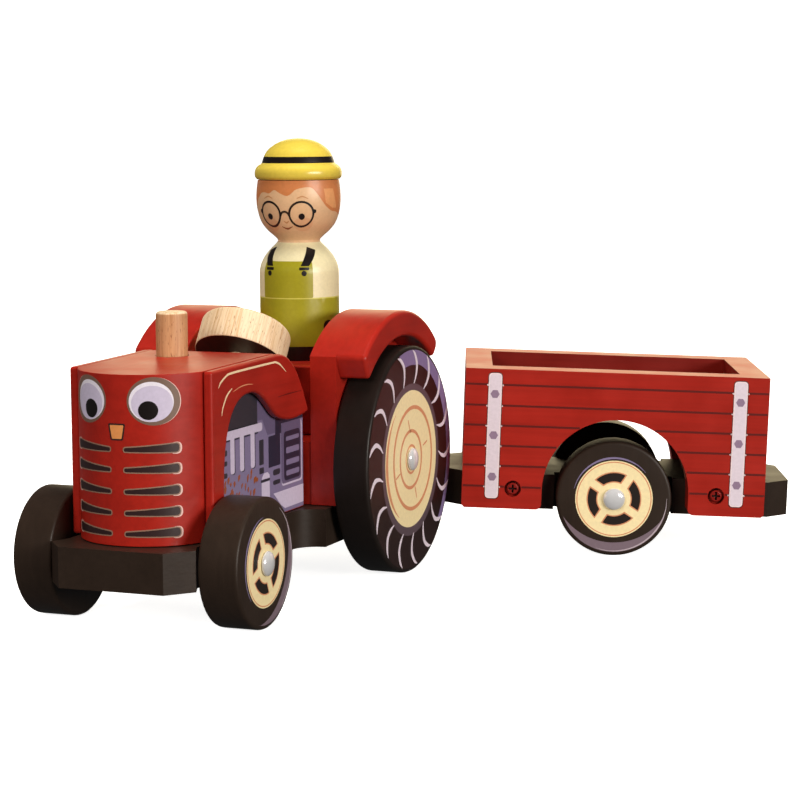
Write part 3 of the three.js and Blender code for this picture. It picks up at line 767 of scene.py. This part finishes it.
# Short lines across the rings of a rear wheel: share of the radius and degrees at either end.
NOTCHES = (((0.353, 101), (0.244, 95)), ((0.396, 17), (0.30, 17)),
           ((0.379, -160), (0.28, -160)), ((0.277, -71), (0.378, -71)))


def polar(r, degrees):
    return Vector((r * math.cos(math.radians(degrees)), r * math.sin(math.radians(degrees))))


def rear_wheel_marks(face, name, body, r):
    """The print of a rear wheel: a ring of curved treads about a cream disc with rings."""
    layers = [
        (0, "tyre_brown", circle(0, 0, 0.966 * r, 160), circle(0, 0, 0.64 * r, 120)),
        (1, "tyre_grey", circle(0, -0.2, 32.0, 120), HUB_HOLE),
        (2, "cream", circle(0, 0.2, 28.8, 120), HUB_HOLE),
        (3, "salmon", circle(1.9, 0.3, 22.2, 96), circle(1.9, 0.3, 20.6, 96)),
        (3, "salmon", circle(-0.4, 0, 12.7, 72), circle(-0.4, 0, 11.3, 72)),
        (3, "salmon", circle(0, 0, 6.3, 48), circle(0, 0, 5.3, 48)),
        (4, "salmon", stroke(arc(-0.8, 0, 0.55 * r, 128, 240, 12), [0.1, 1.6, 2.4, 1.8, 0.1])),
    ]
    for start, end in NOTCHES:
        a, b = polar(start[0] * r, start[1]), polar(end[0] * r, end[1])
        layers.append((3, "salmon", stroke([a, (a + b) / 2, b], [0.7, 0.9, 0.5])))
    pitch = 360 / CLAWS
    for k in range(CLAWS):
        at = CLAW_FIRST - k * pitch
        path = [polar(share * r, at + lean) for share, lean in CLAW_PATH]
        layers.append((3, "claw", stroke(path, [0.5, 1.5, 1.9, 1.6, 0.4])))
        if at >= VIOLET_LAST:
            along = (CLAW_FIRST - at) / (CLAW_FIRST - VIOLET_LAST)
            low = VIOLET_INNER[0] + (VIOLET_INNER[1] - VIOLET_INNER[0]) * along
            fill = arc(0, 0, 0.963 * r, at + 5, at - pitch + 7, 8)
            layers.append((1, "violet", fill + arc(0, 0, low * r, at - pitch + 0.5, at, 8)))
    printed(name, layers, flat, face, body)


axle_set(TRACTOR, "front", *FRONT_AXLE, "tractor", small_wheel_marks(57), black_paint)
# The rear tyres take the darker black, a painted shade under the fenders.
axle_set(TRACTOR, "rear", *REAR_AXLE, "tractor", rear_wheel_marks, rear_tyre_painted_shade)
axle_set(TRAILER_LEVEL, "trailer", 0, 0, "trailer", small_wheel_marks(0), black_paint)

pipe_low, pipe_high = extent("exhaust_pipe")
pipe_r = (pipe_high.x - pipe_low.x) / 2
pipe = [(0, pipe_low.z, 0), (pipe_r, pipe_low.z, 0.3), (pipe_r, pipe_high.z, 1.6), (0, pipe_high.z, 0)]
pipe_lit_top = pipe_high.z - 1.0         # above this the top takes the paler beech: a painted highlight where the top faces the light
lathe("exhaust_pipe_shape", fillet_profile(pipe, 8),
      in_place(TRACTOR, (pipe_low.x + pipe_high.x) / 2, (pipe_low.y + pipe_high.y) / 2, 0),
      "tractor", [beech_dark, beech], ["exhaust_pipe"], zone=lambda z: int(z > pipe_lit_top))

wheel_low, wheel_high = extent("steering_wheel", STEERING)
steer_r = (wheel_high.x - wheel_low.x) / 2
column_low, column_high = extent("steering_column", STEERING)
column_r = (column_high.x - column_low.x) / 2
bore_r = column_r + CLEARANCE
bore_top = column_high.z + 0.3
disc = [(0, bore_top, 0), (bore_r, bore_top, 0.2), (bore_r, wheel_low.z, 0.3), (steer_r, wheel_low.z, 0.6),
        (steer_r, wheel_high.z, 2.4), (0, wheel_high.z, 0)]
# The underside of the wheel takes the black paint: painted shade under the tilted disc.
lathe("steering_wheel_shape", fillet_profile(disc, 8), STEERING, "steering", [beech, black_paint],
      ["steering_wheel"], sides=128, zone=lambda z: int(z < wheel_low.z + 0.1))
column = [(0, column_low.z, 0), (column_r, column_low.z, 0.5), (column_r, column_high.z, 0.5),
          (0, column_high.z, 0)]
lathe("steering_column_shape", fillet_profile(column), STEERING, "tractor", [beech],
      ["steering_column"], sides=64)

PIN_R, PIN_HEAD_R, PIN_TOP_R = 3.0, 5.4, 2.4
PIN_HEAD_LOW, PIN_HEAD_EDGE = 38.9, 1.4
pin_low, pin_high = extent("hitch_pin")
pin = [(0, pin_low.z, 0), (PIN_R, pin_low.z, 0.4), (PIN_R, PIN_HEAD_LOW, 0.3),
       (PIN_HEAD_R, PIN_HEAD_LOW, 0.3), (PIN_HEAD_R, PIN_HEAD_LOW + PIN_HEAD_EDGE, 0.8),
       (PIN_TOP_R, pin_high.z - 0.1, 0.8), (0, pin_high.z, 0)]
lathe("hitch_pin_shape", fillet_profile(pin), in_place(TRACTOR, 0, (pin_low.y + pin_high.y) / 2, 0),
      "tractor", [steel], ["hitch_pin"], sides=64)


# ---- peg doll --------------------------------------------

HEAD_R = 17.5            # widths on the doll are measured along a cylinder of this radius
BOOT_TOP = 93.9
WAIST = 114.1
NECK = 137.6
HEAD_TOP = 164.0
DOLL_BANDS = (BOOT_TOP, WAIST, WAIST + 0.5, NECK)    # boots, trousers, waist line, shirt, skin above
doll_low = extent("driver_body")[0].z
hat_low, hat_top = (corner.z for corner in extent("driver_hat"))

body_curve = smooth_path([(16.9, doll_low + 1.0), (17, BOOT_TOP), (17, WAIST), (17, 124), (16.75, 126.6),
                          (16.1, 128.8), (14.5, 131.8), (12, 134.8), (9.8, 137), (9, 138.4), (10.4, 140),
                          (13.3, 142.6), (15.8, 145.9), (17.3, 150.2), (17.95, 155), (17.85, 159.6),
                          (17.3, HEAD_TOP)])


def with_heights(curve, heights):
    """The curve with a point added at each height."""
    out = [curve[0]]
    for a, b in zip(curve, curve[1:]):
        out += [a.lerp(b, (h - a.y) / (b.y - a.y)) for h in heights if a.y < h < b.y]
        out.append(b)
    return out


def doll_zone(z):
    return sum(z >= top for top in DOLL_BANDS)


def on_doll(u, v, lift):
    a, b = next((a, b) for a, b in zip(body_curve, body_curve[1:]) if v <= b.y or b is body_curve[-1])
    r = a.x + (b.x - a.x) * (v - a.y) / (b.y - a.y) + lift
    return (r * math.sin(u / HEAD_R), -r * math.cos(u / HEAD_R), v)


def round_doll(points):
    """Points of (angle from the face in degrees, height) as (width along the doll, height)."""
    return [Vector((math.radians(a) * HEAD_R, h)) for a, h in points]


def doll_dot(angle, height, r):
    return circle(math.radians(angle) * HEAD_R, height, r, 32)


body_profile = [*polygon((0, doll_low), (16.4, doll_low)), *with_heights(body_curve, DOLL_BANDS),
                Vector((0, HEAD_TOP))]
lathe("driver_shape", body_profile, DOLL, "driver",
      [INKS[n] for n in ("black", "green", "green_line", "shirt", "doll_skin")], ["driver_body"],
      sides=128, zone=doll_zone)

BAND = (171.2, 173.9)    # lower and upper edge of the hat's black band
hat_curve = smooth_path([(17.9, 0.3), (18.5, 1.2), (18.6, 3), (18.1, 4.6), (16.9, 5.9), (15.7, 6.7),
                         (15.2, 8.0), (14.7, 9.4), (13.8, 11.2), (12.6, 12.7), (11.0, 14.0), (8.8, 15.4),
                         (6.0, 16.5), (3.0, 17.1), (0.3, 17.3)])
hat_curve = [Vector((p.x, p.y + hat_low)) for p in hat_curve]
hat_profile = [*polygon((0, hat_low), (17.5, hat_low)), *with_heights(hat_curve, BAND),
               Vector((0, hat_top))]
lathe("driver_hat_shape", hat_profile, DOLL, "driver", [INKS["yellow"], INKS["black"]],
      ["driver_hat"], sides=128, zone=lambda z: int(BAND[0] < z < BAND[1]))

# Angles on the doll are in degrees from its face, to its left.
hairline = [(-180, 147.5), (-140, 147.6), (-110, 148.6), (-84.6, 150.6), (-72.7, 151.1), (-61, 153.1),
            (-50, 156.4), (-41, 158.7), (-31.4, 159), (-23.5, 158.6), (-15, 160.1), (-7, 158.9), (4.4, 157.6),
            (12.7, 159.3), (15.4, 160.1), (25, 161), (37.5, 161.1), (46, 158.7), (52, 156.2), (61, 153.1),
            (72.7, 151.1), (84.6, 150.6), (110, 148.6), (140, 147.6), (180, 147.5)]
hair = smooth_path(round_doll(hairline), 3) + round_doll([(180, HEAD_TOP), (-180, HEAD_TOP)])
doll_layers = [
    (0, "hair", hair),
    (1, "hair_light", round_doll([(57, 160.5), (60, 154.6), (73, 152.4), (84, 152.2), (79, 156),
                                  (75, 160.5)])),
    (1, "mouth", stroke(round_doll([(-7.5, 144.6), (1, 143.7), (10, 144.6)]), [0.3, 0.9, 0.3])),
    (1, "brow", stroke(round_doll([(-2.2, 147.0), (1.6, 146.3), (5.4, 147.0)]), [0.3, 0.8, 0.3])),
    (1, "black", stroke(round_doll([(-7.2, 148.9), (-4.5, 150.4), (0, 151.0), (4.5, 150.4), (7.2, 148.9)]),
                        [0.9, 0.9])),
]
for s in (-1, 1):
    doll_layers += [
        (0, "blush", ellipse(math.radians(s * 27) * HEAD_R, 145.6, 4.6, 3.0, 32)),
        (1, "black", doll_dot(s * 24, 149.9, 5.7), doll_dot(s * 24, 149.9, 4.8)),
        (1, "black", doll_dot(s * 24.4, 148.9, 1.35)),
        (2, "black", doll_dot(s * 42.4, 151.1, 0.85)),
        (1, "brow", stroke(round_doll([(s * 18, 156.6), (s * 25, 157.4), (s * 33, 156.5)]), [0.3, 0.6, 0.3])),
        (1, "black", rounded(round_doll([(s * 37, 135.9), (s * 54, 134.6), (s * 34.6, 128.0),
                                         (s * 22, 128.0)]), 0.4)),
        (1, "black", rounded(round_doll([(s * 20, 126.3), (s * 34.6, 126.3), (s * 34.6, 127.5),
                                         (s * 20, 127.5)]), 0.3)),
        (1, "black", doll_dot(s * 27, 124.95, 1.15)),
        (0, "black", doll_dot(s * 65.5, 102.1, 2.8)),
    ]
bib = rounded(round_doll([(-40, WAIST + 0.45), (40, WAIST + 0.45), (40, 130), (-40, 130)]), 0.8)
doll_layers.append((0, "green", bib))
printed("driver_print", doll_layers, on_doll, DOLL, "driver", spacing=1.0)


# ---- grille ----------------------------------------------

hood_low, hood_high = extent("hood_block")
hood_half = hood_high.x
side_low, side_high = extent("hood_side_left")
bulge = side_low.y - hood_low.y
NOSE_R = (hood_half ** 2 + bulge ** 2) / (2 * bulge)
NOSE_Y = hood_low.y + NOSE_R
FACE_TURN = math.radians(-0.8)      # the print sits a little off the middle
SLAT_HEIGHTS = (69.3, 61.7, 53.6, 45.6, 37.8)


def on_nose(u, v, lift):
    a = u / NOSE_R + FACE_TURN
    return ((NOSE_R + lift) * math.sin(a), NOSE_Y - (NOSE_R + lift) * math.cos(a), v)


def slat(s, z, grow):
    """The outline of a slat at a height z and on a side s, larger by grow all round."""
    near, far = 2.9 - grow, 23.7 + grow
    corners = ((near, -0.65 - grow), (far, -0.95 - grow), (far, 2.35 + grow), (near, 0.65 + grow))
    return [Vector((s * u, z + h)) for u, h in corners]


grille = [
    (0, "slat", rounded(polygon((-3.6, 79.0), (3.6, 79.0), (2.6, 72.7), (-2.6, 72.7)), 0.8)),
    (1, "beak", rounded(polygon((-2.9, 78.4), (2.9, 78.4), (2.0, 73.3), (-2.0, 73.3)), 0.4)),
]
for s in (-1, 1):
    grille += [
        (0, "rim_pink", ellipse(s * 14.7, 87.35, 10.0, 8.9, 64)),
        (1, "outline_brown", ellipse(s * 14.35, 87.35, 10.0, 8.95, 64)),
        (2, "eye_white", ellipse(s * 13.5, 87.15, 8.35, 7.45, 64)),
        (3, "eye_lilac", ellipse(s * 13.8, 86.45, 7.75, 6.7, 64)),
        (4, "black", ellipse(s * 12.3, 84.0, 3.7, 3.5, 48)),
    ]
    for z in SLAT_HEIGHTS:
        tip = polygon((s * 20, z - 1.6), (s * 24.8, z - 1.7), (s * 24.8, z + 2.9), (s * 20, z + 2.6))
        grille += [
            (0, "rim_pink", rounded(tip, 2.2, 8)),
            (1, "slat_edge", rounded(slat(s, z, 0.45), 2.0, 8)),
            (2, "slat", rounded(slat(s, z, 0), 1.6, 8)),
        ]
printed("grille_print", grille, on_nose, TRACTOR, "tractor", spacing=1.5)


# ---- hood sides and engine -------------------------------

def side_surface(side):
    return lambda u, v, lift: (side * u, v, lift)


hood_lines = [
    (0, "cream_line", stroke([(-3.1, 90.7), (-1, 92.6), (3.4, 94.4), (7.7, 95.1), (26, 95.4), (44.3, 95.5),
                              (48, 95.3), (51.8, 94.1), (57.3, 90.8)],
                             [0.3, 0.8, 0.8, 0.8, 0.8, 0.8, 0.8, 0.7, 0.2])),
    (0, "cream_line", stroke([(8.3, 89.3), (4.8, 87.6), (2.2, 85.3), (0, 82.1), (-0.7, 79.9)],
                             [0.3, 0.8, 0.8, 0.7, 0.2])),
    (0, "salmon", stroke([(9.2, 87.9), (15.3, 89.1), (21.5, 89.4), (26.8, 89.0)], [0.15, 0.4, 0.4, 0.15])),
    (0, "red_line", stroke([(49.5, 81.5), (60, 81.75), (71.6, 81.7)], [0.2, 0.45, 0.2])),
]

# The engine's parts are in millimetres behind the front axle and over the floor.
engine = [
    (0, "lilac", polygon((1.5, 33.5), (81.6, 33.5), (81.6, 71.5), (60, 75), (47, 80), (40, 86), (12, 86),
                         (1.5, 75))),
    (1, "night", polygon((1.5, 72.2), (38.6, 72.2), (38.6, 86), (12, 86), (1.5, 76))),
    (1, "navy", polygon((55, 65.7), (60.7, 65.7), (60.7, 69.5), (81.5, 69.5), (81.5, 71.4), (60, 75),
                        (55, 76))),
    (1, "lilac_mid", polygon((38.6, 73.2), (43, 73.2), (48, 66.5), (55, 66.5), (55, 77), (47, 80),
                             (38.6, 86))),
    (2, "lilac_pale", bar(1.5, 43, 68.9, 72.2, 1.5)),
    (2, "night", bar(40, 44, 55.4, 65.3)),
    (2, "night", bar(40, 44, 51.9, 54.3)),
    (2, "navy", bar(48.6, 59.5, 53.3, 65.7)),
    (1, "lilac_pale", bar(60.7, 80.6, 44.2, 69.0, 1.8)),
    (2, "lilac_mid", bar(60.7, 79.6, 45.0, 69.5, 1.8)),
    (3, "navy", bar(63.0, 78.6, 46.0, 65.8, 2.2)),
    (2, "lilac_pale", polygon((52.8, 42.4), (81.5, 42.4), (81.5, 35.1), (63.6, 35), (59.8, 36.8))),
    (2, "lilac_pale", bar(41.8, 49.2, 36, 48.2, 0.3)),
    (2, "night", bar(41.2, 49.4, 48.3, 49.3, 0.3)),
    (2, "lilac_pale", polygon((42, 49.4), (49.4, 49.4), (49.2, 50.6), (47.5, 51.8), (44.5, 51.8),
                              (42.6, 50.6))),
    (2, "night", bar(52.6, 59.2, 49.6, 51.9, 1.1)),
    (2, "night", bar(52.6, 59.2, 45.8, 47.6, 0.9)),
]
for y in (14.2, 22.6, 32.2):
    engine.append((1, "navy", bar(y + 1, y + 4.3, 55.0, 69.5, 1.2)))
    engine.append((3, "lilac_pale", bar(y, y + 3.6, 55.4, 70, 1.4)))
for z0, z1 in ((63, 65.3), (59.2, 61.1), (54.6, 56.5)):
    engine.append((2, "night", bar(6, 11.4, z0, z1, 0.9)))
for z0, z1 in ((61.9, 63.6), (56.8, 59.2), (52.1, 54.3), (47.8, 49.9)):
    engine.append((4, "lilac", bar(65.0, 77.6, z0, z1, 0.7)))
engine.append((1, "navy", bar(1.5, 39.4, 68.2, 72.6, 1.2)))

FLECKS = 32
FLECK_START, FLECK_PITCH = 5, 1.04
FLECK_LEVELS = 5         # neighbours lie on different levels, so that flecks that meet don't share a surface
chance = random.Random(4)
for k in range(FLECKS):
    y, z = FLECK_START + FLECK_PITCH * k + chance.uniform(-1, 1), chance.uniform(42, 53)
    run, rise, width = chance.uniform(0.3, 1.5), chance.uniform(1.2, 2.8), chance.uniform(1.0, 2.2)
    fleck = [(y, z), (y + run * 0.4, z + rise * 0.6), (y + run, z + rise)]
    engine.append((1 + k % FLECK_LEVELS, "rust", stroke(fleck, [0.3, width, 0.4], 2)))

for side, side_name in SIDES:
    printed(f"hood_lines_{side_name}", hood_lines, side_surface(side), side_on(TRACTOR, side, side_high.x),
            "tractor")
    printed(f"engine_print_{side_name}", engine, side_surface(side), side_on(TRACTOR, side, hood_half),
            "tractor")


# ---- trailer sides ---------------------------------------

ARCH_Z, ARCH_R = 3.3, 31.65
SCREW_Z, SCREW_RING = 3.5, 3.6
SCREWS_Y = (-44.2, 43.6)
GROOVES = (48.6, 39.6, 30.9, 22.1, 13.4, 4.3)    # heights of the lines between the planks
GROOVE = 0.9             # and their width
STRAPS = ((-56.2, -50.5), (49.3, 55.1))          # where they start and end along the panel
STRAP_LOW, STRAP_HIGH = -0.9, 53.6
BOLTS = (44.5, 26.6, 8.5)
BOLT_R = 1.96


def groove_spans(z):
    """The stretches of the panel where a groove at height z runs, clear of the wheel arch and the screws."""
    cuts = []
    screws = [(y, SCREW_Z, SCREW_RING + 0.2) for y in SCREWS_Y]
    for y, height, r in ((0, ARCH_Z, ARCH_R + 0.4), *screws):
        if abs(z - height) < r:
            half = math.sqrt(r ** 2 - (z - height) ** 2)
            cuts.append((y - half, y + half))
    edges = [panel_low.y + 0.3, *(edge for span in sorted(cuts) for edge in span), panel_high.y - 0.3]
    return list(zip(edges[::2], edges[1::2]))


panel_print = []
for z in GROOVES:
    for start, end in groove_spans(z):
        panel_print.append((0, "red_line", bar(start, end, z - GROOVE / 2, z + GROOVE / 2, 0)))
for y0, y1 in STRAPS:
    panel_print += [
        (1, "strap_shadow", bar(y0 - 0.35, y1 + 0.35, STRAP_LOW - 0.4, STRAP_HIGH + 0.4, 2.2)),
        (2, "strap_edge", bar(y0, y1, STRAP_LOW, STRAP_HIGH, 1.8)),
        (3, "strap", bar(y0 + 0.45, y1 - 0.45, STRAP_LOW + 0.5, STRAP_HIGH - 0.5, 1.5)),
    ]
    for z in GROOVES:
        for y in (y0, y1):
            panel_print.append((1, "strap_edge", ellipse(y, z - 0.3, 0.75, 0.45, 12)))
    for z in BOLTS:
        panel_print.append((4, "hexagon", circle((y0 + y1) / 2, z, BOLT_R, 6)))

for side, side_name in SIDES:
    printed(f"trailer_print_{side_name}", panel_print, side_surface(side),
            side_on(TRAILER, side, panel_high.x), "trailer")


# ---- floor, light and camera -----------------------------

FLOOR_R = 2600           # the floor is flat as far as here, and curves up beyond
FLOOR_CURVE = 500
WALL_TOP = 2200
BACKDROP_GLOW = 0.86
WORLD_GLOW = 0.06


def backdrop():
    """A pale floor that curves up into a low wall all round."""
    profile = polygon((0, 0), (300, 0), (1200, 0), (FLOOR_R, 0))
    profile += arc(FLOOR_R, FLOOR_CURVE, FLOOR_CURVE, -90, 0, 16)[1:]
    profile.append(Vector((FLOOR_R + FLOOR_CURVE, WALL_TOP)))
    mesh = mesh_of(revolved(profile, 96), "backdrop")
    smooth(mesh, 60)
    in_metres(mesh)
    floor = linked("backdrop", mesh)
    n = Nodes("paper")
    fibre = n.noise(n.coordinates, scale=30.0)
    n.drive("Base Color", n.ramp(fibre, (0.3, grey(0.90)), (0.7, grey(0.93))))
    n.set(roughness=0.8)
    n.shader.inputs["Emission Color"].default_value = grey(1.0)
    n.shader.inputs["Emission Strength"].default_value = BACKDROP_GLOW
    mesh.materials.append(n.material)
    floor.visible_diffuse = False
    floor.visible_glossy = False


MIDDLE = Vector((0, 0, 0.06))        # the lights point here


def outwards(a, e):
    """The direction at an azimuth and elevation: 0 is in front of the tractor, a right angle its left."""
    return Vector((math.sin(a) * math.cos(e), -math.cos(a) * math.cos(e), math.sin(e)))


def studio_light(name, azimuth, elevation, distance, size, watts, colour):
    """A softbox round the toy, with its angles in degrees."""
    light = bpy.data.lights.new(name, "AREA")
    light.shape = "RECTANGLE"
    light.size, light.size_y = size
    light.energy = watts
    light.color = colour
    lamp = linked(name, light)
    lamp.location = MIDDLE + outwards(math.radians(azimuth), math.radians(elevation)) * distance
    lamp.rotation_mode = "QUATERNION"
    lamp.rotation_quaternion = (MIDDLE - lamp.location).to_track_quat("-Z", "Y")
    lamp.visible_camera = False
    return lamp


backdrop()
world = bpy.data.worlds.new("studio")
world.use_nodes = True
world.node_tree.nodes["Background"].inputs["Color"].default_value = grey(1.0)
world.node_tree.nodes["Background"].inputs["Strength"].default_value = WORLD_GLOW
scene.world = world

studio_light("overhead", 40, 86, 2.2, (1.4, 1.4), 50, (1, 0.96, 0.9)).visible_glossy = False
studio_light("key", 68, 12, 2.3, (1.3, 0.5), 40, (1, 0.95, 0.88))
studio_light("fill", -8, 20, 2.4, (1.4, 0.5), 28, (1, 0.96, 0.92)).visible_glossy = False
studio_light("behind", 194, 13, 1.9, (1.3, 1.0), 7, (1, 0.84, 0.5))
studio_light("rear", 236, 12, 2.2, (1.1, 0.9), 24, (1, 0.9, 0.76)).visible_glossy = False

AZIMUTH, ELEVATION, ROLL = (math.radians(angle) for angle in (21.868, 6.760, -0.3454))
EYE = (425.5, -807.3, 191.75)        # about the tractor's point on the floor
back = outwards(AZIMUTH, ELEVATION)
level = Vector((math.cos(AZIMUTH), math.sin(AZIMUTH), 0))
upright = back.cross(level)
right = math.cos(ROLL) * level + math.sin(ROLL) * upright
up = math.cos(ROLL) * upright - math.sin(ROLL) * level
lens = bpy.data.cameras.new("camera")
lens.lens = 108.76
lens.sensor_width = 36
lens.clip_end = 20
camera = linked("camera", lens)
camera.matrix_world = basis(right, up, back, TRACTOR @ (Vector(EYE) * MM))
scene.camera = camera
scene.view_settings.view_transform = "Standard"
